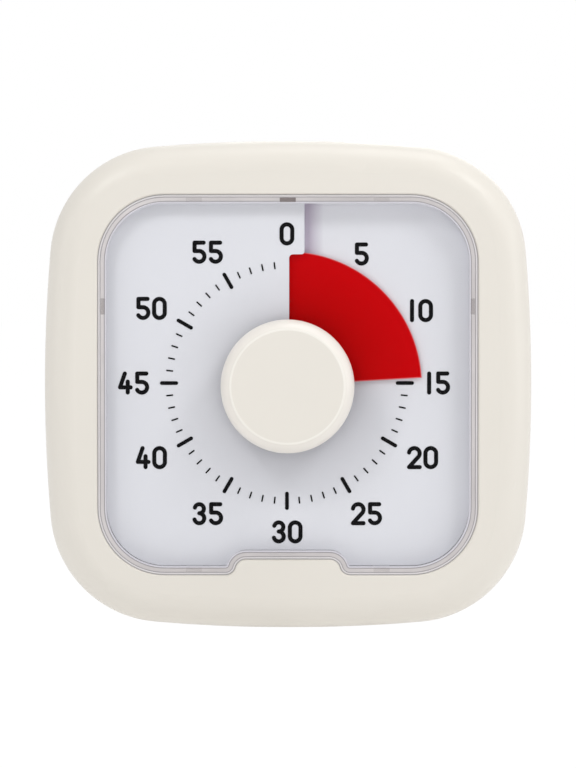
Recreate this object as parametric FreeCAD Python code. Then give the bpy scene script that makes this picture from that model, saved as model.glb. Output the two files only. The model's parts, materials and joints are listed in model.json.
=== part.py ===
# Visual countdown timer: a square white casing with softly bulged sides, a clear front cover, a dial that
# winds once round as a shallow spiral ramp, a red leaf that screws in and out of a slit at the top of the
# dial, and a round knob on the spindle. Front faces -Y, +X is to the right seen from the front, +Z is up.
# The origin is at the bottom centre of the whole object. Millimetres.
import FreeCAD, Part
import math
import os

V = FreeCAD.Vector

# Casing
case_size = 190.0          # width and height before the foot flat
side_bulge_radius = 613.0
corner_radius = 44.6
foot_half_width = 16.0     # half of the small flat that it stands on
front_depth = 22.0
back_depth = 16.0
case_wall = 2.4
front_roll = 12.0
back_roll = 4.0
joint_lip = 1.4
lip_reach = 2.0
lip_clearance = 0.15
knob_proud = 16.0

# Window and clear cover
window_width = 147.8
window_corner = 26.2
notch_rise = 6.1
notch_top_half = 16.2
notch_base_half = 24.2
window_chamfer = 0.5
cover_clearance = 0.3
cover_recess = 0.8
cover_plate = 2.0
cover_rim = 2.8
cover_flange = 2.5
flange_thickness = 1.6

# Spiral dial and leaf
axis_drop = 0.4            # spindle below the middle of the window
dial_pitch = 3.6
dial_thickness = 1.6
leaf_thickness = 0.8
leaf_gap = 0.6
leaf_radius = 52.2
leaf_edge_clearance = 0.8
cover_to_leaf = 0.8
shown_angle = 86.64        # degrees of red showing at rest
slit_offset = 0.5
tab_width = 6.4
tab_overlap = 1.1
slit_corner = 1.6
tab_corner = 1.0
dial_clearance = 0.3
dial_wall = 1.6
dial_hole_clearance = 1.0
lug_length = 6.2
lug_spread = 36.4
lug_side_height = 30.4
lug_gap = 0.3
lug_skin = 0.8

# Printing on the dial
scale_rise = 1.0           # the printed scale sits this much above the spindle
scale_shift = -0.35        # and this far to the right of it
number_spread = 1.1        # slanting two-figure numbers lie this much farther out sideways
number_sink = 0.8          # and this much nearer the level of the spindle
ink = 0.12
tick_middle_radius = 45.9
major_length = 7.1
major_width = 1.45
minor_length = 2.8
minor_width = 0.6
number_radius = 59.7
near_number_radius = 58.0
near_numbers = (0, 5, 10, 15, 30)
digit_height = 9.0
digit_width = 5.75
digit_stroke = 1.6
digit_pitch = 6.4
narrow_pitch = 5.3        # beside a figure 1

# Knob and spindle
knob_base_radius = 25.75
knob_face_radius = 22.1
knob_edge_round = 0.9
knob_side = 8.8
knob_wall = 2.2
knob_gap = 0.8
knob_socket_wall = 2.4
spindle_radius = 4.0
running_gap = 0.06
loose_gap = 0.5
key_width = 1.2
key_height = 1.2
journal_radius = 3.0
hub_radius = 9.0
spindle_in_knob = 11.0

# Carrier plate and movement
carrier_thickness = 2.0
carrier_gap = 1.0
carrier_half = 79.0
carrier_corner = 38.0
post_x = 84.0
post_z = 38.0
post_radius = 4.0
bush_radius = 6.5
bush_length = 1.8
movement_half = 28.0
movement_depth = 12.6
movement_wall = 1.2
movement_floor = 1.4
movement_lid = 1.4
movement_screw_offset = 24.6

# Wheel train, all of one module
gear_module = 0.4
teeth_spindle = 60
teeth_a = 50
teeth_b = 48
leaves_a = 10
leaves_b = 10
leaves_rotor = 8
wheel_thickness = 1.2
level_gap = 1.0
arbor_radius = 0.6
angle_to_a = 90.0
angle_to_b = -20.0
angle_to_rotor = -75.0
magnet_radius = 3.0
magnet_thickness = 1.0
magnet_air = 0.5

# Battery, its bay and its lid
battery_radius = 7.25
battery_length = 49.2
battery_nub_radius = 2.75
battery_nub = 1.3
battery_clearance = 1.0
contact_room = 3.6
contact_thickness = 0.5
bay_wall = 2.6
bay_x = 50.0
bay_z = 70.0
lid_thickness = 2.0
lid_gap = 0.2
lid_overlap = 2.0

# Fold-out stand
stand_width = 44.0
stand_length = 104.0
stand_thickness = 3.2
stand_hinge_height = 112.0
stand_gap = 0.4
stand_pin_length = 2.0
pocket_floor = 2.0
finger_width = 9.0
finger_length = 18.0
finger_depth = 5.0
finger_height = 40.0

# Sound and volume
board_x = -50.0
board_z = 66.0
board_width = 30.0
board_height = 56.0
board_thickness = 1.6
buzzer_radius = 13.0
buzzer_thickness = 3.6
buzzer_z = 140.0
sound_hole = 1.0
sound_pitch = 4.4
slider_width = 5.0
slider_length = 4.0
slider_travel = 8.0
slider_z = 68.0
dish_depth = 1.2
switch_depth = 3.6

# Screws
screw_radius = 1.2
screw_head_radius = 2.4
screw_head = 1.6
screw_gap = 0.05
case_screw_radius = 1.5
case_screw_head_radius = 2.9
case_screw_head = 2.0
case_boss_radius = 4.6
case_boss_offset = 71.5
case_screw_seat = 3.0

# Heights and depths that follow from the sizes above
foot_sag = side_bulge_radius - math.sqrt(side_bulge_radius ** 2 - foot_half_width ** 2)
middle_z = case_size / 2 - foot_sag
spindle_z = middle_z - axis_drop
case_depth = front_depth + back_depth
total_depth = case_depth + knob_proud
back_y = total_depth / 2
face_y = back_y - case_depth
part_y = back_y - back_depth
knob_y = face_y - knob_proud
cover_front = face_y + cover_recess
cover_back = cover_front + cover_plate
inner_face = face_y + case_wall
leaf_step = leaf_thickness + leaf_gap
leaf_front_limit = cover_back + cover_to_leaf
dial_deep = leaf_front_limit + leaf_step + dial_pitch
dial_high = dial_deep - dial_pitch
carrier_front = dial_deep - leaf_step + dial_pitch + leaf_thickness + carrier_gap
carrier_back = carrier_front + carrier_thickness
inner_back = back_y - case_wall

os.makedirs("parts", exist_ok=True)


def save(name, shape):
    shape = shape.removeSplitter() if len(shape.Solids) == 1 else shape
    solids = shape.Solids
    for solid in solids:
        if not solid.isValid() or solid.Volume <= 0:
            raise ValueError(name + " is not a sound solid")
    out = solids[0] if len(solids) == 1 else Part.makeCompound(solids)
    out.exportStep("parts/" + name + ".step")
    print(name, len(solids), round(sum(s.Volume for s in solids), 1))


def box(x0, x1, y0, y1, z0, z1):
    return Part.makeBox(x1 - x0, y1 - y0, z1 - z0, V(x0, y0, z0))


def rod(x, z, radius, y0, y1):
    return Part.makeCylinder(radius, y1 - y0, V(x, y0, z), V(0, 1, 0))


def tube(x, z, outer, inner, y0, y1):
    return rod(x, z, outer, y0, y1).cut(rod(x, z, inner, y0 - 1, y1 + 1))


def prism(wire, y0, y1):
    wire = wire.copy()
    wire.translate(V(0, y0, 0))
    return Part.Face(wire).extrude(V(0, y1 - y0, 0))


def arc(centre_x, centre_z, radius, start, end):
    points = []
    for share in (0.0, 0.5, 1.0):
        a = math.radians(start + (end - start) * share)
        points.append(V(centre_x + radius * math.cos(a), 0, centre_z + radius * math.sin(a)))
    return Part.Arc(*points).toShape()


def joined(edges):
    # Close the gaps between neighbouring edges with straight lines
    chain = []
    for i, edge in enumerate(edges):
        chain.append(edge)
        end = edge.valueAt(edge.LastParameter)
        start = edges[(i + 1) % len(edges)]
        start = start.valueAt(start.FirstParameter)
        if (end - start).Length > 1e-6:
            chain.append(Part.LineSegment(end, start).toShape())
    return Part.Wire(chain)


def case_outline(inset):
    # Four bulged sides and four corner arcs, tangent to each other
    half = case_size / 2
    rise = side_bulge_radius - half
    reach = side_bulge_radius - corner_radius
    corner = (math.sqrt(2 * reach ** 2 - rise ** 2) - rise) / 2
    lean = math.degrees(math.asin(corner / reach))
    edges = []
    for turn, (sx, sz) in enumerate(((1, 0), (0, 1), (-1, 0), (0, -1))):
        heading = turn * 90.0
        edges.append(arc(-sx * rise, middle_z - sz * rise, side_bulge_radius - inset, heading - lean, heading + lean))
        cx = corner * (1 if turn in (0, 3) else -1)
        cz = corner * (1 if turn in (0, 1) else -1)
        edges.append(arc(cx, middle_z + cz, corner_radius - inset, heading + lean, heading + 90 - lean))
    return Part.Wire(edges)


def window_outline(inset):
    # Rounded square whose bottom edge steps up in the middle
    half = window_width / 2
    corner = half - window_corner
    run = notch_base_half - notch_top_half
    bend = 2 * math.degrees(math.atan(notch_rise / run))
    curl = run / (2 * math.sin(math.radians(bend)))
    radius = window_corner - inset
    low = middle_z - half
    edges = [
        arc(-notch_top_half, low + notch_rise - curl, curl + inset, 90, 90 + bend),
        arc(-notch_base_half, low + curl, curl - inset, bend - 90, -90),
        arc(-corner, middle_z - corner, radius, 270, 180),
        arc(-corner, middle_z + corner, radius, 180, 90),
        arc(corner, middle_z + corner, radius, 90, 0),
        arc(corner, middle_z - corner, radius, 0, -90),
        arc(notch_base_half, low + curl, curl - inset, 270, 270 - bend),
        arc(notch_top_half, low + notch_rise - curl, curl + inset, 90 - bend, 90),
    ]
    return joined(edges)


def ring_prism(outline, outer, inner, y0, y1):
    return prism(outline(outer), y0, y1).cut(prism(outline(inner), y0 - 1, y1 + 1))


def rounded_square(half, corner):
    flat = half - corner
    return joined([
        arc(-flat, middle_z - flat, corner, 270, 180),
        arc(-flat, middle_z + flat, corner, 180, 90),
        arc(flat, middle_z + flat, corner, 90, 0),
        arc(flat, middle_z - flat, corner, 0, -90),
    ])


def rolled(inset, y0, y1, roll, rolled_y):
    # Casing prism with its edge at rolled_y rounded over
    body = prism(case_outline(inset), y0, y1)
    edges = [e for e in body.Edges if abs(e.BoundBox.YMin - rolled_y) < 1e-4 and abs(e.BoundBox.YMax - rolled_y) < 1e-4]
    return body.makeFillet(roll, edges)


def helicoid(inner, outer, start, end, front, depth=None, flat_back=None):
    # A spiral sheet round the spindle: front(angle) gives the depth of its front surface
    sections = []
    steps = int(round((end - start) / 15.0)) or 1
    for i in range(steps + 1):
        angle = start + (end - start) * i / steps
        a = math.radians(angle)
        y0 = front(angle)
        y1 = flat_back if depth is None else y0 + depth
        corners = [(inner, y0), (outer, y0), (outer, y1), (inner, y1)]
        points = [V(r * math.sin(a), y, spindle_z + r * math.cos(a)) for r, y in corners]
        lines = [Part.LineSegment(points[k], points[(k + 1) % 4]).toShape() for k in range(4)]
        sections.append(Part.Wire(lines))
    return Part.makeLoft(sections, True, False)


def dial_front(angle):
    return dial_deep - dial_pitch * angle / 360.0


def leaf_front(angle):
    return dial_front(angle) - leaf_step


def screw(x, z, radius, head_radius, head, seat_y, tip_y):
    # Pan head behind seat_y and a shank toward the front, with a cross slot
    body = rod(x, z, radius, tip_y, seat_y + head / 2)
    body = body.fuse(rod(x, z, head_radius, seat_y, seat_y + head))
    slot = head_radius * 0.6
    top = seat_y + head
    cross = box(x - slot, x + slot, top - head * 0.4, top + 1, z - radius / 4, z + radius / 4)
    cross = cross.fuse(box(x - radius / 4, x + radius / 4, top - head * 0.4, top + 1, z - slot, z + slot))
    return body.cut(cross)


def four(x, z):
    return [(sx * x, middle_z + sz * z) for sx in (-1, 1) for sz in (-1, 1)]


# Front frame: rolled shell, window, screw bosses and carrier posts
above_foot = box(-case_size, case_size, knob_y, back_y + 1, 0, case_size + 10)
outer_front = rolled(0, face_y, part_y, front_roll, face_y)
front = outer_front.cut(rolled(case_wall, inner_face, part_y + 0, front_roll - case_wall, inner_face))
bosses = [rod(x, z, case_boss_radius, face_y, part_y) for x, z in four(case_boss_offset, case_boss_offset)]
bosses += [rod(x, z, post_radius, face_y, carrier_front) for x, z in four(post_x, post_z)]
front = front.fuse([b.common(outer_front) for b in bosses])
front = front.cut(prism(window_outline(0), face_y - 1, inner_face + 1))
bevel = [window_outline(-window_chamfer), window_outline(0)]
bevel[0].translate(V(0, face_y, 0))
bevel[1].translate(V(0, face_y + window_chamfer, 0))
front = front.cut(Part.makeLoft(bevel, True, True))
case_screw_tip = part_y - 12.0
carrier_screw_tip = carrier_front - 8.0
for x, z in four(case_boss_offset, case_boss_offset):
    front = front.cut(rod(x, z, case_screw_radius + screw_gap, case_screw_tip - 0.5, part_y + 1))
for x, z in four(post_x, post_z):
    front = front.cut(rod(x, z, screw_radius + screw_gap, carrier_screw_tip - 0.5, carrier_front + 1))
front = front.common(above_foot)
save("front_frame", front)

# Rear cover: shell, lip that centres it in the frame, bay, stand pocket, sound chamber
back = rolled(0, part_y, back_y, back_roll, back_y)
back = back.cut(rolled(case_wall, part_y, inner_back, back_roll - case_wall, inner_back))
lip_inner = case_wall + lip_clearance + joint_lip
back = back.fuse(ring_prism(case_outline, case_wall - 0.1, lip_inner, part_y, part_y + lip_reach))
back = back.fuse(ring_prism(case_outline, case_wall + lip_clearance, lip_inner, part_y - lip_reach, part_y + 0.5))
back = back.fuse([rod(x, z, case_boss_radius, part_y, inner_back + 0.5) for x, z in four(case_boss_offset, case_boss_offset)])

battery_y = back_y - lid_thickness - lid_gap - battery_radius
bay_half_x = battery_radius + battery_clearance
bay_half_z = (battery_length + battery_nub) / 2 + contact_room
bay_floor = battery_y - battery_radius - 0.3
bay_outer = box(bay_x - bay_half_x - bay_wall, bay_x + bay_half_x + bay_wall, bay_floor - 1.6, inner_back + 0.5,
                bay_z - bay_half_z - bay_wall, bay_z + bay_half_z + bay_wall)
back = back.fuse(bay_outer)

stand_half = stand_width / 2
stand_axis_y = back_y - 0.3 - stand_thickness / 2
stand_foot_z = stand_hinge_height - stand_length
pocket_y = stand_axis_y - stand_thickness / 2 - stand_gap
pocket_half = stand_half + stand_gap
pocket_top = stand_hinge_height + stand_thickness / 2 + stand_gap
pocket_bottom = stand_foot_z - stand_gap
pocket_side = 2.6
back = back.fuse(box(-pocket_half - pocket_side, pocket_half + pocket_side, pocket_y - pocket_floor, inner_back + 0.5,
                     pocket_bottom - 0.1, pocket_top + pocket_side))
finger_x = pocket_half + finger_width
finger_y = back_y - finger_depth
back = back.fuse(box(pocket_half, finger_x + pocket_side, finger_y - pocket_floor, inner_back + 0.5,
                     finger_height - pocket_side, finger_height + finger_length + pocket_side))
buzzer_wall = 1.6
back = back.fuse(rod(board_x, buzzer_z, buzzer_radius + 0.3 + buzzer_wall, inner_back - buzzer_thickness - 0.6, inner_back + 0.5))

back = back.cut(rod(board_x, buzzer_z, buzzer_radius + 0.3, part_y, inner_back))
lid_half_x = bay_half_x + lid_overlap
lid_half_z = bay_half_z + lid_overlap
back = back.cut(box(bay_x - bay_half_x, bay_x + bay_half_x, bay_floor, back_y + 1, bay_z - bay_half_z, bay_z + bay_half_z))
back = back.cut(box(bay_x - lid_half_x - lid_gap, bay_x + lid_half_x + lid_gap, back_y - lid_thickness - lid_gap, back_y + 1,
                    bay_z - lid_half_z - lid_gap, bay_z + lid_half_z + lid_gap))
back = back.cut(box(-pocket_half, pocket_half, pocket_y, back_y + 1, pocket_bottom, pocket_top))
back = back.cut(box(pocket_half - 1, finger_x, finger_y, back_y + 1, finger_height, finger_height + finger_length))
pin_radius = stand_thickness / 2 - 0.3
pin_hole = Part.makeCylinder(pin_radius + running_gap, stand_width + 2 * stand_gap + 2 * stand_pin_length + 0.4,
                             V(-pocket_half - stand_pin_length - 0.2, stand_axis_y, stand_hinge_height), V(1, 0, 0))
back = back.cut(pin_hole)
for x, z in four(case_boss_offset, case_boss_offset):
    back = back.cut(rod(x, z, case_screw_radius + 0.2, part_y - 1, back_y + 1))
    back = back.cut(rod(x, z, case_screw_head_radius + 0.3, part_y + case_screw_seat, back_y + 1))
for row in range(-2, 3):
    count = 5 - abs(row)
    for i in range(count):
        x = board_x + (i - (count - 1) / 2) * sound_pitch
        z = buzzer_z + row * sound_pitch * math.sqrt(3) / 2
        back = back.cut(rod(x, z, sound_hole, inner_back - 1, back_y + 1))
slider_mid = slider_z + slider_travel / 2
slot_half = (slider_length + slider_travel) / 2 + 0.4
back = back.cut(box(board_x - slider_width / 2 - 0.3, board_x + slider_width / 2 + 0.3, inner_back - 1, back_y + 1,
                    slider_mid - slot_half, slider_mid + slot_half))
back = back.cut(box(board_x - slider_width, board_x + slider_width, back_y - dish_depth, back_y + 1,
                    slider_mid - slot_half - 3, slider_mid + slot_half + 3))
board_back = inner_back - switch_depth - 1.2
board_front = board_back - board_thickness
board_posts = [(board_x, board_z + s * (board_height / 2 - 4)) for s in (-1, 1)]
for x, z in board_posts:
    back = back.fuse(rod(x, z, 3.0, board_back, inner_back + 0.5))
    back = back.cut(rod(x, z, screw_radius + screw_gap, board_back - 1, board_back + 4.5))
back = back.common(above_foot)
save("rear_cover", back)

# Lugs that key the dial into notches in the cover's rim: middle and direction along X or Z
lug_reach = window_width / 2 - cover_clearance - lug_skin
lug_root = window_width / 2 - cover_clearance - cover_rim - dial_clearance - dial_wall / 2
lugs = [(0, 1, 0), (-lug_spread, 1, 0), (lug_spread, 1, 0), (-lug_spread, -1, 0), (lug_spread, -1, 0),
        (lug_side_height, 0, -1), (lug_side_height, 0, 1)]


def lug_box(lug, grow, front_y, back_y1):
    along, up, side = lug
    half = lug_length / 2 + grow
    near = lug_root - grow
    out = lug_reach - lug_gap + grow
    if up:
        z = sorted((middle_z + up * near, middle_z + up * out))
        return box(along - half, along + half, front_y, back_y1, z[0], z[1])
    x = sorted((side * near, side * out))
    return box(x[0], x[1], front_y, back_y1, middle_z + along - half, middle_z + along + half)


lug_front = dial_deep + 0.4

# Clear cover: a tray set in the window, held by its flange behind the frame face
cover = ring_prism(window_outline, cover_clearance, cover_clearance + cover_rim, cover_front, carrier_front)
cover = cover.fuse(prism(window_outline(cover_clearance), cover_front, cover_back))
cover = cover.fuse(ring_prism(window_outline, -cover_flange, cover_clearance + 1, inner_face, inner_face + flange_thickness))
cover = cover.cut(rod(0, spindle_z, spindle_radius + loose_gap, cover_front - 1, cover_back + 1))
for lug in lugs:
    cover = cover.cut(lug_box(lug, lug_gap, lug_front - lug_gap, carrier_front + 1))
save("clear_cover", cover)

# Dial: one turn of a spiral ramp with a slit and a step at the top
dial_inset = cover_clearance + cover_rim + dial_clearance
hub_hole = hub_radius + dial_hole_clearance
well = prism(window_outline(dial_inset), knob_y, carrier_front)
far = window_width
ramp = helicoid(hub_hole, far, 0, 360, dial_front, depth=dial_thickness)
dial = ramp.common(well)
under = helicoid(hub_hole, far, 0, 360, lambda a: dial_front(a) + dial_thickness / 2, flat_back=carrier_front)
ring_inset = dial_inset + dial_wall
inside = rounded_square(window_width / 2 - ring_inset, window_corner - ring_inset)
dial_ring = well.cut(prism(inside, knob_y - 1, carrier_front + 1))
dial = dial.fuse(under.common(dial_ring))
slit_end = spindle_z + leaf_radius - tab_overlap
step_start = spindle_z + leaf_radius + leaf_edge_clearance
top = middle_z + window_width
dial = dial.fuse(box(-0.4, slit_offset, dial_high, dial_high + dial_thickness, spindle_z + hub_hole, top).common(well))
dial = dial.fuse(box(-0.4, tab_width, dial_high, dial_high + dial_thickness, slit_end, top).common(well))
dial = dial.fuse(box(-0.8, tab_width, dial_high, dial_deep + dial_thickness / 2, step_start, top).common(well))
dial = dial.fuse([lug_box(lug, 0, lug_front, carrier_front) for lug in lugs])


def corner_filler(corner_x, corner_z, side_x, side_z, radius):
    # What lies between a square corner and its round, as thick as the dial
    x = corner_x + side_x * radius
    z = corner_z + side_z * radius
    back = dial_high + dial_thickness
    block = box(min(x, corner_x), max(x, corner_x), dial_high, back, min(z, corner_z), max(z, corner_z))
    return block.cut(rod(x, z, radius, dial_high, back))


dial = dial.fuse(corner_filler(slit_offset, slit_end, 1, -1, slit_corner))
dial = dial.cut(corner_filler(tab_width, slit_end, -1, 1, tab_corner))
save("dial", dial)

# Printed scale: ticks and figures as a thin layer on the ramp
scale_z = spindle_z + scale_rise


def capsule(x0, z0, x1, z1, width):
    # Outline of a straight stroke with round ends
    heading = math.degrees(math.atan2(z1 - z0, x1 - x0))
    return joined([arc(x1, z1, width / 2, heading - 90, heading + 90), arc(x0, z0, width / 2, heading + 90, heading + 270)])


def bar(angle, middle, length, width):
    # A round-ended stroke pointing at the middle of the scale
    s = math.sin(math.radians(angle))
    c = math.cos(math.radians(angle))
    near = middle - (length - width) / 2
    far_end = middle + (length - width) / 2
    return capsule(scale_shift + near * s, scale_z + near * c, scale_shift + far_end * s, scale_z + far_end * c, width)


def straight(x0, z0, x1, z1):
    return Part.Face(capsule(x0, z0, x1, z1, digit_stroke))


def bend(x, z, radius, start, end):
    # A stroke along an arc, with round ends
    half = digit_stroke / 2
    s = math.radians(start)
    e = math.radians(end)
    return Part.Face(joined([
        arc(x, z, radius + half, start, end),
        arc(x + radius * math.cos(e), z + radius * math.sin(e), half, end, end + 180),
        arc(x, z, radius - half, end, start),
        arc(x + radius * math.cos(s), z + radius * math.sin(s), half, start + 180, start + 360),
    ]))


def figure(digit):
    # Strokes of one figure, centred on it
    w = (digit_width - digit_stroke) / 2
    h = (digit_height - digit_stroke) / 2
    if digit == "0":
        loops = []
        for r in (w + digit_stroke / 2, w - digit_stroke / 2):
            loops.append(joined([arc(0, h - w, r, 180, 0), arc(0, w - h, r, 0, -180)]))
        return [Part.Face(loops[0]).cut(Part.Face(loops[1]))]
    if digit == "1":
        return [straight(0, h, 0, -h)]
    if digit == "2":
        lean = -38.0
        knee_x = w * math.cos(math.radians(lean))
        knee_z = h - w + w * math.sin(math.radians(lean))
        return [bend(0, h - w, w, lean, 170), straight(knee_x, knee_z, -w, -h), straight(-w, -h, w, -h)]
    if digit == "3":
        upper = h * 0.48
        lower = h - upper
        return [bend(0, h - upper, upper, -90, 165), bend(0, lower - h, lower, -165, 90)]
    if digit == "4":
        crook = -h * 0.45
        return [straight(-w * 0.1, h, -w, crook), straight(-w, crook, w, crook), straight(w * 0.45, h * 0.15, w * 0.45, -h)]
    hip = -w * 0.85
    waist = 2 * w - h
    return [straight(hip, h, w * 0.85, h), straight(hip, h, hip, waist), straight(hip, waist, 0, waist),
            bend(0, w - h, w, -150, 90)]


layer = helicoid(hub_hole + 5, far, 0, 360, lambda a: dial_front(a) - ink, depth=ink)
marks = []
for minute in range(1, 60):
    if minute % 5:
        wire = bar(minute * 6.0, tick_middle_radius, minor_length, minor_width)
    else:
        wire = bar(minute * 6.0, tick_middle_radius, major_length, major_width)
    marks.append(prism(wire, knob_y, carrier_front))
for minute in range(0, 60, 5):
    a = math.radians(minute * 6.0)
    text = str(minute)
    radius = near_number_radius if minute in near_numbers else number_radius
    pitch = narrow_pitch if "1" in text else digit_pitch
    x = scale_shift + radius * math.sin(a)
    z = scale_z + radius * math.cos(a)
    if len(text) == 2 and minute % 15:
        x += math.copysign(number_spread, math.sin(a))
        z -= math.copysign(number_sink, math.cos(a))
    for i, digit in enumerate(text):
        shift = (i - (len(text) - 1) / 2) * pitch
        place = V(x + shift, knob_y, z)
        strokes = [face.translated(place).extrude(V(0, carrier_front - knob_y, 0)) for face in figure(digit)]
        solid = strokes[0].fuse(strokes[1:]).removeSplitter() if len(strokes) > 1 else strokes[0]
        marks.append(solid)
printed = []
for mark in marks:
    centre = mark.BoundBox.Center
    if abs(centre.x) < digit_width / 2 and centre.z > spindle_z + leaf_radius:
        raised = mark.common(box(-number_radius, tab_width, dial_high - ink, dial_high, spindle_z, top))
        printed += raised.removeSplitter().Solids
    else:
        printed += mark.common(layer).removeSplitter().Solids
save("dial_print", Part.makeCompound(printed))

# Knob: a hollow cup with a convex shoulder and a socket for the spindle
knob_back = cover_front - knob_gap
side_end = knob_back - knob_side
shoulder = knob_base_radius - knob_face_radius
bow = 0.35 * shoulder


def knob_profile(inset, back_edge, face_edge):
    base = knob_base_radius - inset
    face = knob_face_radius - inset * 0.7
    mid = V(base - shoulder / 2 + bow, (side_end + face_edge) / 2, 0)
    points = [V(0, back_edge, 0), V(base, back_edge, 0), V(base, side_end, 0), V(face, face_edge, 0), V(0, face_edge, 0)]
    edges = [Part.LineSegment(points[0], points[1]).toShape(), Part.LineSegment(points[1], points[2]).toShape(),
             Part.Arc(points[2], mid, points[3]).toShape(), Part.LineSegment(points[3], points[4]).toShape(),
             Part.LineSegment(points[4], points[0]).toShape()]
    turned = Part.Face(Part.Wire(edges)).revolve(V(0, 0, 0), V(0, 1, 0), 360)
    turned.translate(V(0, 0, spindle_z))
    return turned


knob = knob_profile(0, knob_back, knob_y)
rim = [e for e in knob.Edges if abs(e.BoundBox.YMax - knob_y) < 1e-4 and e.Length > knob_face_radius]
knob = knob.makeFillet(knob_edge_round, rim)
knob = knob.cut(knob_profile(knob_wall, knob_back + 1, knob_y + knob_wall))
socket_radius = spindle_radius + running_gap
socket_outer = socket_radius + knob_socket_wall
knob = knob.fuse(rod(0, spindle_z, socket_outer, knob_y + 1, knob_back))
for i in range(6):
    web = box(socket_outer - 1, knob_base_radius - knob_wall - 0.2, knob_y + 1, side_end, spindle_z - 0.6, spindle_z + 0.6)
    web.rotate(V(0, 0, spindle_z), V(0, 1, 0), 60.0 * i)
    knob = knob.fuse(web)
spindle_front = knob_back - spindle_in_knob
knob = knob.cut(rod(0, spindle_z, socket_radius, spindle_front, knob_back + 1))
save("knob", knob)

# Spindle: driven by the knob, keyed for the leaf hub, journal at the back for the first wheel
bush_end = carrier_back + bush_length
wheel_level = bush_end + 0.4
first_end = wheel_level + wheel_thickness
spring_end = first_end + 0.4
clip_end = spring_end + 0.5
spindle = rod(0, spindle_z, spindle_radius, spindle_front, wheel_level)
spindle = spindle.fuse(rod(0, spindle_z, journal_radius, wheel_level - 0.1, clip_end + 0.4))
key_reach = spindle_radius + key_height
for i in range(2):
    key = box(-key_reach, key_reach, cover_back + 0.2, carrier_front - 0.2, spindle_z - key_width / 2, spindle_z + key_width / 2)
    key.rotate(V(0, 0, spindle_z), V(0, 1, 0), 90.0 * i)
    spindle = spindle.fuse(key)
save("spindle", spindle)

# Leaf: one whole turn of thin red spiral on a hub that slides on the keys
leaf = helicoid(hub_radius, leaf_radius, shown_angle - 360.0, shown_angle, leaf_front, depth=leaf_thickness)
save("red_leaf", leaf)
hub_front = leaf_front(shown_angle)
hub = tube(0, spindle_z, hub_radius, spindle_radius + 0.08, hub_front, hub_front + dial_pitch + leaf_thickness)
way = key_reach + 0.08
for i in range(2):
    slot = box(-way, way, hub_front - 1, hub_front + 10, spindle_z - key_width / 2 - 0.1, spindle_z + key_width / 2 + 0.1)
    slot.rotate(V(0, 0, spindle_z), V(0, 1, 0), 90.0 * i)
    hub = hub.cut(slot)
save("leaf_hub", hub)

# Carrier plate behind the dial, screwed to the frame posts
carrier = prism(rounded_square(carrier_half, carrier_corner), carrier_front, carrier_back)
for x, z in four(post_x, post_z):
    inward = x - math.copysign(post_radius * 3, x)
    carrier = carrier.fuse(rod(x, z, post_radius, carrier_front, carrier_back))
    carrier = carrier.fuse(box(min(x, inward), max(x, inward), carrier_front, carrier_back, z - post_radius, z + post_radius))
carrier = carrier.fuse(rod(0, spindle_z, bush_radius, carrier_front, bush_end))
carrier = carrier.cut(rod(0, spindle_z, spindle_radius + running_gap, carrier_front - 1, bush_end + 1))
for x, z in four(post_x, post_z):
    carrier = carrier.cut(rod(x, z, screw_radius + screw_gap, carrier_front - 1, carrier_back + 1))
movement_corners = [(sx * movement_screw_offset, spindle_z + sz * movement_screw_offset) for sx in (-1, 1) for sz in (-1, 1)]
for x, z in movement_corners:
    carrier = carrier.cut(rod(x, z, screw_radius + screw_gap, carrier_front - 1, carrier_back + 1))
save("carrier_plate", carrier)
carrier_screws = [screw(x, z, screw_radius, screw_head_radius, screw_head, carrier_back, carrier_screw_tip)
                  for x, z in four(post_x, post_z)]
save("carrier_screws", Part.makeCompound(carrier_screws))
case_seat = part_y + case_screw_seat
case_screws = [screw(x, z, case_screw_radius, case_screw_head_radius, case_screw_head, case_seat, case_screw_tip)
               for x, z in four(case_boss_offset, case_boss_offset)]
save("case_screws", Part.makeCompound(case_screws))

# Wheel train in the movement, behind the carrier
def gear(x, z, teeth, y0, y1, phase, slim):
    # Straight-flanked teeth with play, one tooth centred on the phase angle
    pitch_radius = gear_module * teeth / 2
    root = pitch_radius - 1.15 * gear_module
    tip = pitch_radius + 0.75 * gear_module
    step = 2 * math.pi / teeth
    points = []
    for i in range(teeth):
        centre = math.radians(phase) + i * step
        for radius, share in ((root, -0.30), (pitch_radius, -0.21), (tip, -0.09), (tip, 0.09), (pitch_radius, 0.21), (root, 0.30)):
            a = centre + share * slim * step
            points.append(V(x + radius * math.cos(a), y0, z + radius * math.sin(a)))
    points.append(points[0])
    return Part.Face(Part.makePolygon(points)).extrude(V(0, y1 - y0, 0))


def toward(start, angle, distance):
    a = math.radians(angle)
    return start[0] + distance * math.cos(a), start[1] + distance * math.sin(a)


tray_back = carrier_back + movement_depth
lid_back = tray_back + movement_lid
level_a = first_end + level_gap
level_b = level_a + wheel_thickness + level_gap
level_rotor = level_b + wheel_thickness + level_gap
spindle_place = (0.0, spindle_z)
place_a = toward(spindle_place, angle_to_a, gear_module * (teeth_spindle + leaves_a) / 2)
place_b = toward(place_a, angle_to_b, gear_module * (teeth_a + leaves_b) / 2)
place_rotor = toward(place_b, angle_to_rotor, gear_module * (teeth_b + leaves_rotor) / 2)
pinion_a_step = 360.0 / leaves_a
pinion_b_step = 360.0 / leaves_b
rotor_step = 360.0 / leaves_rotor

wheel = gear(*spindle_place, teeth_spindle, wheel_level, first_end, angle_to_a, 0.9)
wheel = wheel.cut(rod(0, spindle_z, journal_radius + 0.03, wheel_level - 1, first_end + 1))
save("spindle_wheel", wheel)
save("clutch_spring", tube(0, spindle_z, journal_radius + 3.0, journal_radius + 0.05, first_end, spring_end))
save("spindle_clip", tube(0, spindle_z, journal_radius + 1.6, journal_radius, spring_end, clip_end))

floor_back = carrier_back + movement_floor


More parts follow.
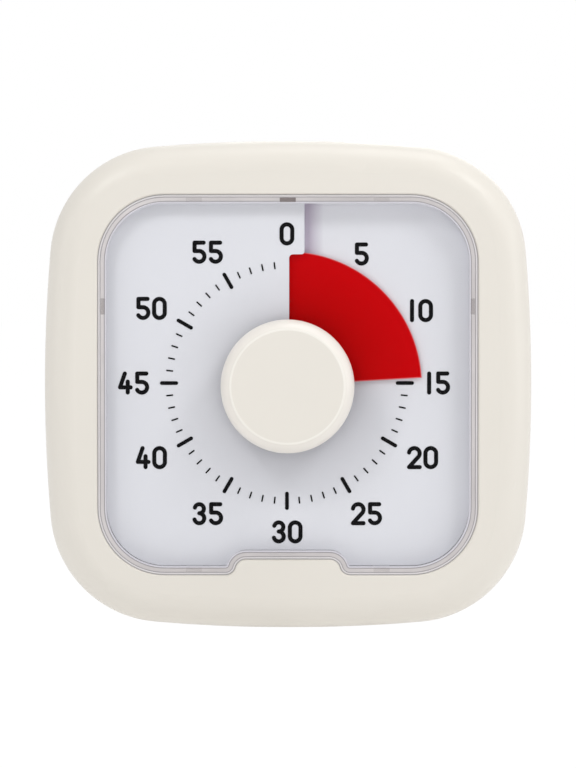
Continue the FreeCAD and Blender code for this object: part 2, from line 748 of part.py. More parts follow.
def wheel_pair(name, place, teeth, leaves, pinion_start, wheel_start, pinion_end, wheel_phase, pinion_phase):
    pinion = gear(*place, leaves, pinion_start, pinion_end, pinion_phase, 0.8)
    disc = gear(*place, teeth, wheel_start, wheel_start + wheel_thickness, wheel_phase, 0.9)
    pair = pinion.fuse(disc).cut(rod(*place, arbor_radius + 0.02, pinion_start - 5, pinion_end + 9))
    save(name, pair)


wheel_pair("wheel_a", place_a, teeth_a, leaves_a, wheel_level - 0.2, level_a, level_a + 0.1,
           angle_to_b, angle_to_a + 180 + pinion_a_step / 2)
wheel_pair("wheel_b", place_b, teeth_b, leaves_b, level_a - 0.2, level_b, level_b + 0.1,
           angle_to_rotor, angle_to_b + 180 + pinion_b_step / 2)
magnet_level = level_b + wheel_thickness + 0.6
rotor = gear(*place_rotor, leaves_rotor, level_b - 0.2, magnet_level, angle_to_rotor + 180 + rotor_step / 2, 0.8)
rotor = rotor.cut(rod(*place_rotor, arbor_radius + 0.02, level_b - 5, magnet_level + 9))
save("rotor_pinion", rotor)
save("rotor_magnet", tube(*place_rotor, magnet_radius, arbor_radius + 0.02, magnet_level, magnet_level + magnet_thickness))
arbor_front = floor_back - 0.8
arbor_back = tray_back + 0.8
for name, place in (("arbor_a", place_a), ("arbor_b", place_b), ("rotor_arbor", place_rotor)):
    save(name, rod(*place, arbor_radius, arbor_front, arbor_back))

# Movement case: tray with corner posts, lid, stator and coil
tray = box(-movement_half, movement_half, carrier_back, tray_back, spindle_z - movement_half, spindle_z + movement_half)
inner_half = movement_half - movement_wall
tray = tray.cut(box(-inner_half, inner_half, floor_back, tray_back + 1, spindle_z - inner_half, spindle_z + inner_half))
tray = tray.fuse([rod(x, z, 2.8, carrier_back, tray_back) for x, z in movement_corners])
tray = tray.cut(rod(0, spindle_z, bush_radius + 0.2, carrier_back - 1, floor_back + 1))
lid = box(-movement_half, movement_half, tray_back, lid_back, spindle_z - movement_half, spindle_z + movement_half)
bearing = arbor_radius + running_gap
for place in (place_a, place_b, place_rotor):
    tray = tray.cut(rod(*place, bearing, arbor_front - 0.1, floor_back + 1))
    lid = lid.cut(rod(*place, bearing, tray_back - 1, arbor_back + 0.1))
for x, z in movement_corners:
    tray = tray.cut(rod(x, z, screw_radius + screw_gap, carrier_back - 1, tray_back + 1))
    lid = lid.cut(rod(x, z, screw_radius + screw_gap, tray_back - 1, lid_back + 1))
coil_radius = 3.4
coil_x = -magnet_radius
coil_z = spindle_z - 19.0
coil_half = 10.0
coil_y = (magnet_level + magnet_thickness / 2)
stator_y0 = magnet_level
stator_y1 = magnet_level + magnet_thickness
gap_radius = magnet_radius + magnet_air
bridge = 2.4
stator = rod(*place_rotor, gap_radius + bridge, stator_y0, stator_y1)
stator = stator.fuse(box(place_rotor[0] - 2, place_rotor[0] + 2, stator_y0, stator_y1, coil_z, place_rotor[1]))
stator = stator.fuse(box(coil_x - coil_half - 3, place_rotor[0] + 2, stator_y0, stator_y1, coil_z - 1.5, coil_z + 1.5))
stator = stator.cut(rod(*place_rotor, gap_radius, stator_y0 - 1, stator_y1 + 1))
save("stator", stator)
coil = Part.makeCylinder(coil_radius - 0.6, 2 * coil_half - 2.4, V(coil_x - coil_half + 1.2, coil_y, coil_z), V(1, 0, 0))
core = box(coil_x - coil_half - 5, coil_x + coil_half + 5, stator_y0 - 0.02, stator_y1 + 0.02, coil_z - 1.52, coil_z + 1.52)
former = coil_radius - 1.2
save("coil", coil.cut(Part.makeCylinder(former, 60, V(coil_x - 30, coil_y, coil_z), V(1, 0, 0))))
bobbin = Part.makeCylinder(former - 0.01, 2 * coil_half - 2.4, V(coil_x - coil_half + 1.2, coil_y, coil_z), V(1, 0, 0))
for x0 in (coil_x - coil_half, coil_x + coil_half - 1.2):
    bobbin = bobbin.fuse(Part.makeCylinder(coil_radius, 1.2, V(x0, coil_y, coil_z), V(1, 0, 0)))
save("coil_bobbin", bobbin.cut(core))
pegs = [box(coil_x - coil_half - 2.4, coil_x - coil_half - 0.4, stator_y1, tray_back, coil_z - 1, coil_z + 1),
        box(place_rotor[0] - 1, place_rotor[0] + 1, stator_y1, tray_back, coil_z + 4, coil_z + 6)]
lid = lid.fuse(pegs)
stands = [box(coil_x - coil_half - 2.4, coil_x - coil_half - 0.4, floor_back - 0.1, stator_y0, coil_z - 1, coil_z + 1),
          box(place_rotor[0] - 1, place_rotor[0] + 1, floor_back - 0.1, stator_y0, coil_z + 1.5, coil_z + 3.5)]
tray = tray.fuse(stands)
save("movement_tray", tray)
save("movement_lid", lid)
movement_screws = [screw(x, z, screw_radius, screw_head_radius, screw_head, lid_back, carrier_front + 0.2)
                   for x, z in movement_corners]
save("movement_screws", Part.makeCompound(movement_screws))

# Battery, contacts and lid
half_cell = (battery_length + battery_nub) / 2
cell = Part.makeCylinder(battery_radius, battery_length, V(bay_x, battery_y, bay_z - half_cell), V(0, 0, 1))
cell = cell.makeFillet(0.6, [e for e in cell.Edges if e.Length > battery_radius * 6])
cell = cell.fuse(Part.makeCylinder(battery_nub_radius, battery_nub + 0.2, V(bay_x, battery_y, bay_z + half_cell - battery_nub - 0.2)))
save("battery", cell)
plate_half = battery_radius - 1.5
plus_end = bay_z + bay_half_z
plus = box(bay_x - plate_half, bay_x + plate_half, bay_floor, battery_y + 3, plus_end - contact_thickness, plus_end)
plus = plus.fuse(Part.makeCone(2.6, 1.8, plus_end - contact_thickness - bay_z - half_cell,
                               V(bay_x, battery_y, plus_end - contact_thickness), V(0, 0, -1)))
save("contact_plus", plus)
minus_end = bay_z - bay_half_z
minus = box(bay_x - plate_half, bay_x + plate_half, bay_floor, battery_y + 4, minus_end, minus_end + contact_thickness)
tongue_tip = bay_z - half_cell
tongue = [V(0, bay_floor + 2, minus_end), V(0, battery_y + 1, tongue_tip), V(0, battery_y + 3, minus_end + 1.4),
          V(0, battery_y + 2.6, minus_end + 1.2), V(0, battery_y + 1, tongue_tip - 0.6), V(0, bay_floor + 2.8, minus_end)]
tongue = Part.Face(Part.makePolygon(tongue + [tongue[0]])).extrude(V(5, 0, 0))
tongue.translate(V(bay_x - 2.5, 0, 0))
minus = minus.fuse(tongue.common(box(bay_x - 5, bay_x + 5, part_y - 50, back_y, minus_end, tongue_tip)))
save("contact_minus", minus)
lid_front = back_y - lid_thickness - lid_gap + 0.05
door = box(bay_x - lid_half_x, bay_x + lid_half_x, lid_front, lid_front + lid_thickness, bay_z - lid_half_z, bay_z + lid_half_z)
for x in (-1, 1):
    door = door.fuse(box(bay_x + x * (bay_half_x - 1.0) - 0.6, bay_x + x * (bay_half_x - 1.0) + 0.6, lid_front - 1.2, lid_front + 0.1,
                         bay_z - 12, bay_z + 12))
for i in range(4):
    z = bay_z + bay_half_z - 6 - i * 2.2
    door = door.cut(box(bay_x - 6, bay_x + 6, lid_front + lid_thickness - 0.5, back_y + 1, z - 0.5, z + 0.5))
save("battery_door", door)

# Fold-out stand: a leg with a round hinge end and two pins
leg = box(-stand_half, stand_half, stand_axis_y - stand_thickness / 2, stand_axis_y + stand_thickness / 2,
          stand_foot_z, stand_hinge_height)
leg = leg.fuse(Part.makeCylinder(stand_thickness / 2, stand_width, V(-stand_half, stand_axis_y, stand_hinge_height), V(1, 0, 0)))
leg = leg.fuse(Part.makeCylinder(pin_radius, stand_width + 2 * stand_gap + 2 * stand_pin_length,
                                 V(-pocket_half - stand_pin_length, stand_axis_y, stand_hinge_height), V(1, 0, 0)))
for i in range(3):
    z = stand_foot_z + 4 + i * 3
    leg = leg.cut(box(-stand_half + 6, stand_half - 6, stand_axis_y + stand_thickness / 2 - 0.5, back_y + 1, z - 0.6, z + 0.6))
save("stand", leg)

# Circuit board with chip, crystal, volume switch, and the sounder in the rear cover
board = box(board_x - board_width / 2, board_x + board_width / 2, board_front, board_back,
            board_z - board_height / 2, board_z + board_height / 2)
for x, z in board_posts:
    board = board.cut(rod(x, z, screw_radius + screw_gap, board_front - 1, board_back + 1))
save("circuit_board", board)
board_screws = []
for x, z in board_posts:
    one = screw(x, z, screw_radius, screw_head_radius, screw_head, 0, -5.4)
    one.rotate(V(x, 0, z), V(1, 0, 0), 180)
    one.translate(V(0, board_front, 0))
    board_screws.append(one)
save("board_screws", Part.makeCompound(board_screws))
save("timing_chip", box(board_x - 4, board_x + 4, board_front - 1.6, board_front, board_z - 4, board_z + 4))
save("crystal_can", Part.makeCylinder(1.0, 6.0, V(board_x + 6, board_front - 1.0, board_z - 12), V(1, 0, 0)))
switch_top = board_back + switch_depth
switch = box(board_x - 3.5, board_x + 3.5, board_back, switch_top - 1.6, slider_mid - 7.0, slider_mid + 7.0)
save("volume_switch", switch)
flange_y = switch_top - 1.2
slider = box(board_x - slider_width / 2 - 1.5, board_x + slider_width / 2 + 1.5, flange_y, inner_back - 0.2,
             slider_z - slider_length / 2 - 1.5, slider_z + slider_length / 2 + 1.5)
slider = slider.fuse(box(board_x - slider_width / 2, board_x + slider_width / 2, flange_y, back_y - 0.4,
                         slider_z - slider_length / 2, slider_z + slider_length / 2))
save("volume_slider", slider)
save("sounder", rod(board_x, buzzer_z, buzzer_radius, inner_back - buzzer_thickness, inner_back - 0.05))
print("wheel places", place_a, place_b, place_rotor, "spindle z", spindle_z)
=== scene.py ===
# Visual countdown timer: finishes, the clear cover's moulded rim, lamps and camera.
import json
import math

import bmesh
import bpy
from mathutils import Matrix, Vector


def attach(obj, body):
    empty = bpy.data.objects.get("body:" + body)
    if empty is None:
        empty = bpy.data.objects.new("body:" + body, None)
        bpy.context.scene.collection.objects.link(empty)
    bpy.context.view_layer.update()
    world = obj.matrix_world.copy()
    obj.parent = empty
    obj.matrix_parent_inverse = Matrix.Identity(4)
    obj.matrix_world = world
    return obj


MM = 0.001

# Sizes of the timer, in millimetres, as the solid model has them
window_width = 147.8
window_corner = 26.2
notch_rise = 6.1
notch_top_half = 16.2
notch_base_half = 24.2
middle_z = 94.79
spindle_z = 94.39
cover_front = -10.2
cover_back = -8.2
leaf_radius = 52.2
shown_angle = 86.64         # degrees of red showing at rest
lug_spread = 36.4
lug_side_height = 30.4
lug_length = 6.2
tab_width = 6.4
knob_face_radius = 22.1

# Sizes of what is added here, in millimetres
band_base = cover_front - 0.02
band_slope = 0.12
lug_inset = 2.2             # from the window's edge to the middle of a lug
lug_width = 1.7
lug_lift = 0.1
lug_patch = 0.04            # thickness of the patch of painted shade over a lug
lug_patch_edge = 0.01
sleeve_band_z = 83.0        # where the cell's sleeve changes colour
shade_inner = 26.0          # round the knob, full shade inside this radius
shade_outer = 50.0
step_shade_below = 3.0      # beside the slit, the shade starts this much below the leaf's rim
step_shade_full = 1.8       # is full this far right of the tab's edge
step_shade_end = 7.5        # and is gone here
floor_half = 30000.0
floor_drop = 0.2            # below the foot, so that the two don't share a plane


# Node helpers for the finishes
def new_finish(name):
    material = bpy.data.materials.new(name)
    material.use_nodes = True
    nodes = material.node_tree.nodes
    return material, nodes, material.node_tree.links, nodes["Principled BSDF"]


def object_place(nodes):
    return nodes.new("ShaderNodeTexCoord").outputs["Object"]


def noise(nodes, links, place, scale, detail=3.0, stretch=None):
    texture = nodes.new("ShaderNodeTexNoise")
    texture.inputs["Scale"].default_value = scale
    texture.inputs["Detail"].default_value = detail
    if stretch:
        mapping = nodes.new("ShaderNodeMapping")
        mapping.inputs["Scale"].default_value = stretch
        links.new(place, mapping.inputs["Vector"])
        place = mapping.outputs["Vector"]
    links.new(place, texture.inputs["Vector"])
    return texture.outputs["Fac"]


def spread(nodes, links, value, low, high, to_low=0.0, to_high=1.0):
    node = nodes.new("ShaderNodeMapRange")
    node.inputs["From Min"].default_value = low
    node.inputs["From Max"].default_value = high
    node.inputs["To Min"].default_value = to_low
    node.inputs["To Max"].default_value = to_high
    links.new(value, node.inputs["Value"])
    return node.outputs["Result"]


def blend_colours(nodes, links, share, first, second):
    mix = nodes.new("ShaderNodeMix")
    mix.data_type = "RGBA"
    links.new(share, mix.inputs["Factor"])
    for socket, colour in (("A", first), ("B", second)):
        target = [s for s in mix.inputs if s.name == socket and s.type == "RGBA"][0]
        if isinstance(colour, tuple):
            target.default_value = (*colour, 1.0)
        else:
            links.new(colour, target)
    return [s for s in mix.outputs if s.type == "RGBA"][0]


def sums(nodes, links, kind, first, second=None):
    node = nodes.new("ShaderNodeMath")
    node.operation = kind
    for i, value in enumerate((first, second)):
        if value is None:
            continue
        if isinstance(value, (int, float)):
            node.inputs[i].default_value = value
        else:
            links.new(value, node.inputs[i])
    return node.outputs[0]


def grain_bump(nodes, links, place, shader, strength, depth, scale):
    bump = nodes.new("ShaderNodeBump")
    bump.inputs["Strength"].default_value = strength
    bump.inputs["Distance"].default_value = depth
    links.new(noise(nodes, links, place, scale, 2.0), bump.inputs["Height"])
    links.new(bump.outputs["Normal"], shader.inputs["Normal"])


def distance_from_axis(nodes, links, place):
    parts = nodes.new("ShaderNodeSeparateXYZ")
    links.new(place, parts.inputs[0])
    side = parts.outputs["X"]
    up = sums(nodes, links, "SUBTRACT", parts.outputs["Z"], spindle_z * MM)
    side_squared = sums(nodes, links, "MULTIPLY", side, side)
    up_squared = sums(nodes, links, "MULTIPLY", up, up)
    squares = sums(nodes, links, "ADD", side_squared, up_squared)
    return sums(nodes, links, "SQRT", squares), side, up


def linear(red, green, blue):
    out = []
    for value in (red, green, blue):
        share = value / 255.0
        out.append(share / 12.92 if share <= 0.04045 else ((share + 0.055) / 1.055) ** 2.4)
    return tuple(out)


# Finishes
def moulded(name, colour, roughness=0.45, grain=1800.0, depth=0.00002, mottle=0.03, scuff=0.06):
    # Moulded plastic: fine spark grain, faint mottling and a few smooth rubbed patches
    material, nodes, links, shader = new_finish(name)
    place = object_place(nodes)
    cloud = spread(nodes, links, noise(nodes, links, place, 14.0), 0.3, 0.7)
    darker = tuple(c * (1 - mottle) for c in colour)
    links.new(blend_colours(nodes, links, cloud, darker, colour), shader.inputs["Base Color"])
    patches = noise(nodes, links, place, 45.0, 6.0)
    rubbed = spread(nodes, links, patches, 0.35, 0.75, roughness - scuff, roughness + scuff)
    links.new(rubbed, shader.inputs["Roughness"])
    grain_bump(nodes, links, place, shader, 0.35, depth, grain)
    return material


def turned_metal(name, colour, roughness=0.32, stretch=(1.0, 40.0, 1.0)):
    # Drawn or turned metal: streaks along one way and tarnish in patches
    material, nodes, links, shader = new_finish(name)
    place = object_place(nodes)
    tarnish = spread(nodes, links, noise(nodes, links, place, 90.0, 5.0), 0.35, 0.7)
    darker = tuple(c * 0.7 for c in colour)
    links.new(blend_colours(nodes, links, tarnish, darker, colour), shader.inputs["Base Color"])
    shader.inputs["Metallic"].default_value = 1.0
    streak = noise(nodes, links, place, 900.0, 2.0, stretch)
    streaked = spread(nodes, links, streak, 0.3, 0.7, roughness - 0.08, roughness + 0.12)
    links.new(streaked, shader.inputs["Roughness"])
    return material


def printed_ink():
    # Near-black ink, a little thinner in places
    material, nodes, links, shader = new_finish("printed_ink")
    place = object_place(nodes)
    thin = spread(nodes, links, noise(nodes, links, place, 700.0, 4.0), 0.35, 0.8)
    ink = blend_colours(nodes, links, thin, linear(7, 7, 9), linear(14, 13, 16))
    links.new(ink, shader.inputs["Base Color"])
    dry = spread(nodes, links, noise(nodes, links, place, 1500.0), 0.3, 0.7, 0.42, 0.6)
    links.new(dry, shader.inputs["Roughness"])
    shader.inputs["Specular IOR Level"].default_value = 0.06
    return material


def knob_finish(colour):
    # Satin knob; its flank is painted lighter and its turned-over face edge carries a painted highlight
    # line
    material = moulded("knob_plastic", colour, 0.36, 2200.0, 0.00002, 0.01, 0.05)
    nodes = material.node_tree.nodes
    links = material.node_tree.links
    radius = distance_from_axis(nodes, links, object_place(nodes))[0]
    # Painted highlight: a pale line along the rounded edge of the face, between these radii
    line_start, line_full = knob_face_radius - 0.75, knob_face_radius - 0.35
    line_fade, line_end = knob_face_radius + 0.05, knob_face_radius + 0.45
    flank_full = knob_face_radius + 0.8
    inner = spread(nodes, links, radius, line_start * MM, line_full * MM)
    outer = spread(nodes, links, radius, line_end * MM, line_fade * MM)
    line = sums(nodes, links, "MULTIPLY", inner, outer)
    edge = sums(nodes, links, "MULTIPLY", line, 0.6)
    # Painted light: the flank outside the face is blended toward a paler colour
    painted_flank_light = spread(nodes, links, radius, knob_face_radius * MM, flank_full * MM, 0.0, 0.45)
    colour_in = nodes["Principled BSDF"].inputs["Base Color"]
    plain = colour_in.links[0].from_socket
    painted_flank_colour = blend_colours(nodes, links, painted_flank_light, plain, linear(249, 244, 238))
    links.new(blend_colours(nodes, links, edge, painted_flank_colour, linear(252, 249, 242)), colour_in)
    return material


def dial_finish(colour):
    # Pale dial with painted shade round the knob and in the foot of the step beside the slit
    material = moulded("dial_plastic", colour, 0.5, 1200.0, 0.00001, 0.012)
    nodes = material.node_tree.nodes
    links = material.node_tree.links
    radius, side, up = distance_from_axis(nodes, links, object_place(nodes))
    # Painted shade round the knob, weaker toward the upper left
    near_knob = spread(nodes, links, radius, shade_outer * MM, shade_inner * MM, 0.0, 0.24)
    upper_left = sums(nodes, links, "SUBTRACT", up, side)
    lower = spread(nodes, links, upper_left, 35.0 * MM, -20.0 * MM, 0.3, 1.0)
    knob_shade = sums(nodes, links, "MULTIPLY", near_knob, lower)
    # Painted shade in the foot of the step, right of the tab's edge and below the leaf's rim
    above = spread(nodes, links, up, (leaf_radius - step_shade_below) * MM, leaf_radius * MM)
    right = spread(nodes, links, side, tab_width * MM, (tab_width + 0.2) * MM)
    shade_end, shade_full = (tab_width + step_shade_end) * MM, (tab_width + step_shade_full) * MM
    fading = spread(nodes, links, side, shade_end, shade_full, 0.0, 0.46)
    step_foot = sums(nodes, links, "MULTIPLY", above, right)
    step_shade = sums(nodes, links, "MULTIPLY", step_foot, fading)
    colour_in = nodes["Principled BSDF"].inputs["Base Color"]
    plain = colour_in.links[0].from_socket
    rounded = blend_colours(nodes, links, knob_shade, plain, linear(52, 40, 66))
    links.new(blend_colours(nodes, links, step_shade, rounded, linear(102, 20, 112)), colour_in)
    return material


def leaf_film():
    # Red film with painted shade darkening it toward the hub and a painted highlight along its cut edge
    # all round
    material, nodes, links, shader = new_finish("leaf_film")
    place = object_place(nodes)
    radius, side, up = distance_from_axis(nodes, links, place)
    # Painted shade from the knob: the red darkens toward the hub; the noise adds a random tone
    away_from_painted_shade = spread(nodes, links, radius, shade_inner * MM, shade_outer * MM)
    cloud = sums(nodes, links, "SUBTRACT", noise(nodes, links, place, 60.0), 0.5)
    tone = sums(nodes, links, "ADD", away_from_painted_shade, sums(nodes, links, "MULTIPLY", cloud, 0.12))
    red = blend_colours(nodes, links, tone, linear(182, 0, 1), linear(199, 0, 6))
    # Painted highlight: pale pink along the leaf's rim and along its cut edge
    rim = spread(nodes, links, radius, (leaf_radius - 0.42) * MM, (leaf_radius - 0.2) * MM)
    lean = math.radians(shown_angle)
    along = sums(nodes, links, "ADD", sums(nodes, links, "MULTIPLY", side, -math.cos(lean)),
                 sums(nodes, links, "MULTIPLY", up, math.sin(lean)))
    ahead = sums(nodes, links, "ADD", sums(nodes, links, "MULTIPLY", side, math.sin(lean)),
                 sums(nodes, links, "MULTIPLY", up, math.cos(lean)))
    near_cut = spread(nodes, links, sums(nodes, links, "ABSOLUTE", along), 0.45 * MM, 0.2 * MM)
    outside_hub = spread(nodes, links, ahead, 8.0 * MM, 9.0 * MM)
    cut = sums(nodes, links, "MULTIPLY", near_cut, outside_hub)
    edge = sums(nodes, links, "MULTIPLY", sums(nodes, links, "MAXIMUM", rim, cut), 0.55)
    film = blend_colours(nodes, links, edge, red, linear(236, 150, 156))
    links.new(film, shader.inputs["Base Color"])
    satin = spread(nodes, links, noise(nodes, links, place, 500.0), 0.3, 0.7, 0.5, 0.64)
    links.new(satin, shader.inputs["Roughness"])
    shader.inputs["Specular IOR Level"].default_value = 0.02
    grain_bump(nodes, links, place, shader, 0.25, 0.00001, 2400.0)
    return material


def clear_plastic(name, alpha, tint, roughness=0.06):
    # Clear moulding seen almost edge-free, with a little haze and fine rubbing marks
    material, nodes, links, shader = new_finish(name)
    place = object_place(nodes)
    shader.inputs["Base Color"].default_value = (*tint, 1.0)
    shader.inputs["Specular IOR Level"].default_value = 0.08
    haze = noise(nodes, links, place, 25.0, 5.0)
    links.new(spread(nodes, links, haze, 0.3, 0.7, alpha * 0.8, alpha * 1.2), shader.inputs["Alpha"])
    marks = noise(nodes, links, place, 300.0, 6.0, (1.0, 1.0, 0.1))
    worn = spread(nodes, links, marks, 0.4, 0.8, roughness, roughness + 0.1)
    links.new(worn, shader.inputs["Roughness"])
    return material


def cover_finish(tint):
    # The cover's plate is all but invisible, and its wall behind the plate looks pale from the side
    material = clear_plastic("cover_plastic", 0.0015, tint)
    nodes = material.node_tree.nodes
    links = material.node_tree.links
    parts = nodes.new("ShaderNodeSeparateXYZ")
    links.new(object_place(nodes), parts.inputs[0])
    wall_start, wall_full = (cover_back + 0.1) * MM, (cover_back + 0.3) * MM
    wall = spread(nodes, links, parts.outputs["Y"], wall_start, wall_full, 0.0, 0.85)
    alpha_in = nodes["Principled BSDF"].inputs["Alpha"]
    plate = alpha_in.links[0].from_socket
    links.new(sums(nodes, links, "MAXIMUM", plate, wall), alpha_in)
    return material


def battery_sleeve():
    # Dark cell sleeve with a lighter metallic band at the button end
    material, nodes, links, shader = new_finish("battery_sleeve")
    place = object_place(nodes)
    parts = nodes.new("ShaderNodeSeparateXYZ")
    links.new(place, parts.inputs[0])
    band = spread(nodes, links, parts.outputs["Z"], sleeve_band_z * MM, (sleeve_band_z + 0.2) * MM)
    sleeve = blend_colours(nodes, links, band, linear(34, 38, 44), linear(196, 160, 98))
    links.new(sleeve, shader.inputs["Base Color"])
    gloss = spread(nodes, links, noise(nodes, links, place, 120.0), 0.3, 0.7, 0.25, 0.4)
    links.new(gloss, shader.inputs["Roughness"])
    shader.inputs["Metallic"].default_value = 0.5
    return material


def board_lacquer():
    # Green lacquer over the board's glass weave
    material, nodes, links, shader = new_finish("board_lacquer")
    place = object_place(nodes)
    weave = noise(nodes, links, place, 900.0, 2.0, (1.0, 1.0, 0.25))
    green = blend_colours(nodes, links, weave, linear(12, 74, 38), linear(24, 104, 52))
    links.new(green, shader.inputs["Base Color"])
    gloss = spread(nodes, links, noise(nodes, links, place, 200.0), 0.3, 0.7, 0.28, 0.42)
    links.new(gloss, shader.inputs["Roughness"])
    return material


# Shapes made here
def curve_points(centre_x, centre_z, radius, start, end, count):
    points = []
    for i in range(count + 1):
        a = math.radians(start + (end - start) * i / count)
        points.append((centre_x + radius * math.cos(a), centre_z + radius * math.sin(a)))
    return points


def window_loop(inset):
    # The window's rounded outline with the step at the bottom, inset by a margin
    half = window_width / 2
    corner = half - window_corner
    run = notch_base_half - notch_top_half
    bend = 2 * math.degrees(math.atan(notch_rise / run))
    curl = run / (2 * math.sin(math.radians(bend)))
    radius = window_corner - inset
    low = middle_z - half
    points = curve_points(-notch_top_half, low + notch_rise - curl, curl + inset, 90, 90 + bend, 8)
    points += curve_points(-notch_base_half, low + curl, curl - inset, bend - 90, -90, 8)[1:]
    points += curve_points(-corner, middle_z - corner, radius, 270, 180, 18)
    points += curve_points(-corner, middle_z + corner, radius, 180, 90, 18)
    points += curve_points(corner, middle_z + corner, radius, 90, 0, 18)
    points += curve_points(corner, middle_z - corner, radius, 0, -90, 18)
    points += curve_points(notch_base_half, low + curl, curl - inset, 270, 270 - bend, 8)
    points += curve_points(notch_top_half, low + notch_rise - curl, curl + inset, 90 - bend, 90, 8)[1:]
    return points


def made(name, shape, material, smooth=True):
    bmesh.ops.recalc_face_normals(shape, faces=shape.faces)
    mesh = bpy.data.meshes.new(name)
    shape.to_mesh(mesh)
    shape.free()
    for face in mesh.polygons:
        face.use_smooth = smooth
    piece = bpy.data.objects.new(name, mesh)
    bpy.context.scene.collection.objects.link(piece)
    piece.data.materials.append(material)
    return piece


def window_band(name, profile, material):
    # A closed moulding that follows the window: profile is a ring of (inset, depth) pairs
    shape = bmesh.new()
    inset, depth = profile[0]
    verts = [shape.verts.new((x * MM, depth * MM, z * MM)) for x, z in window_loop(inset)]
    edges = [shape.edges.new((verts[i], verts[(i + 1) % len(verts)])) for i in range(len(verts))]
    order = {tuple(round(c, 7) for c in vert.co): i for i, vert in enumerate(verts)}
    for inset, depth in profile[1:] + profile[:1]:
        grown = bmesh.ops.extrude_edge_only(shape, edges=edges)["geom"]
        edges = [e for e in grown if isinstance(e, bmesh.types.BMEdge)]
        loop = window_loop(inset)
        placed = {}
        for vert in [v for v in grown if isinstance(v, bmesh.types.BMVert)]:
            i = order[tuple(round(c, 7) for c in vert.co)]
            vert.co = (loop[i][0] * MM, depth * MM, loop[i][1] * MM)
            placed[tuple(round(c, 7) for c in vert.co)] = i
        order = placed
    bmesh.ops.remove_doubles(shape, verts=shape.verts, dist=1e-7)
    piece = made(name, shape, material, smooth=False)
    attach(piece, "housing")


def block(shape, x, y, z, width, depth, height, bevel):
    grown = bmesh.ops.create_cube(shape, size=1.0)["verts"]
    bmesh.ops.scale(shape, verts=grown, vec=(width * MM, depth * MM, height * MM))
    bmesh.ops.translate(shape, verts=grown, vec=(x * MM, y * MM, z * MM))
    edges = list({e for v in grown for e in v.link_edges})
    bmesh.ops.bevel(shape, geom=edges, offset=bevel * MM, segments=2, affect="EDGES",
                    profile=0.5, material=-1)


# Floor, backdrop light and lamps
def seen_rays(nodes, links):
    # Rays that show the background: straight, mirrored or through clear plastic
    rays = nodes.new("ShaderNodeLightPath")
    seen = sums(nodes, links, "MAXIMUM", rays.outputs["Is Camera Ray"], rays.outputs["Is Glossy Ray"])
    return sums(nodes, links, "MAXIMUM", seen, rays.outputs["Is Transmission Ray"])


def pale_stage():
    # Floor that keeps the shadow and otherwise shows white
    material = bpy.data.materials.new("pale_floor")
    material.use_nodes = True
    nodes = material.node_tree.nodes
    links = material.node_tree.links
    nodes.clear()
    output = nodes.new("ShaderNodeOutputMaterial")
    matt = nodes.new("ShaderNodeBsdfDiffuse")
    matt.inputs["Color"].default_value = (0.95, 0.95, 0.95, 1.0)
    glow = nodes.new("ShaderNodeEmission")
    glow.inputs["Strength"].default_value = 1.04
    glow_when_seen = sums(nodes, links, "MULTIPLY", seen_rays(nodes, links), 0.94)
    share = sums(nodes, links, "MAXIMUM", glow_when_seen, 0.45)
    mix = nodes.new("ShaderNodeMixShader")
    links.new(share, mix.inputs["Fac"])
    links.new(matt.outputs[0], mix.inputs[1])
    links.new(glow.outputs[0], mix.inputs[2])
    links.new(mix.outputs[0], output.inputs["Surface"])
    floor_shape = bmesh.new()
    bmesh.ops.create_grid(floor_shape, x_segments=1, y_segments=1, size=floor_half * MM)
    bmesh.ops.translate(floor_shape, verts=floor_shape.verts, vec=(0, 0, -floor_drop * MM))
    floor = made("floor", floor_shape, material)


def studio_world(level):
    world = bpy.data.worlds.new("studio")
    bpy.context.scene.world = world
    world.use_nodes = True
    nodes = world.node_tree.nodes
    links = world.node_tree.links
    room = nodes["Background"]
    white = nodes.new("ShaderNodeBackground")
    for light, strength in ((room, level), (white, 1.0)):
        light.inputs["Color"].default_value = (1.0, 1.0, 1.0, 1.0)
        light.inputs["Strength"].default_value = strength
    mix = nodes.new("ShaderNodeMixShader")
    links.new(seen_rays(nodes, links), mix.inputs["Fac"])
    links.new(room.outputs[0], mix.inputs[1])
    links.new(white.outputs[0], mix.inputs[2])
    links.new(mix.outputs[0], nodes["World Output"].inputs["Surface"])


def softbox(name, place, target, size, watts):
    lamp = bpy.data.lights.new(name, "AREA")
    lamp.shape = "SQUARE"
    lamp.size = size
    lamp.energy = watts
    holder = bpy.data.objects.new(name, lamp)
    bpy.context.scene.collection.objects.link(holder)
    holder.location = place
    holder.rotation_euler = (Vector(target) - Vector(place)).to_track_quat("-Z", "Y").to_euler()


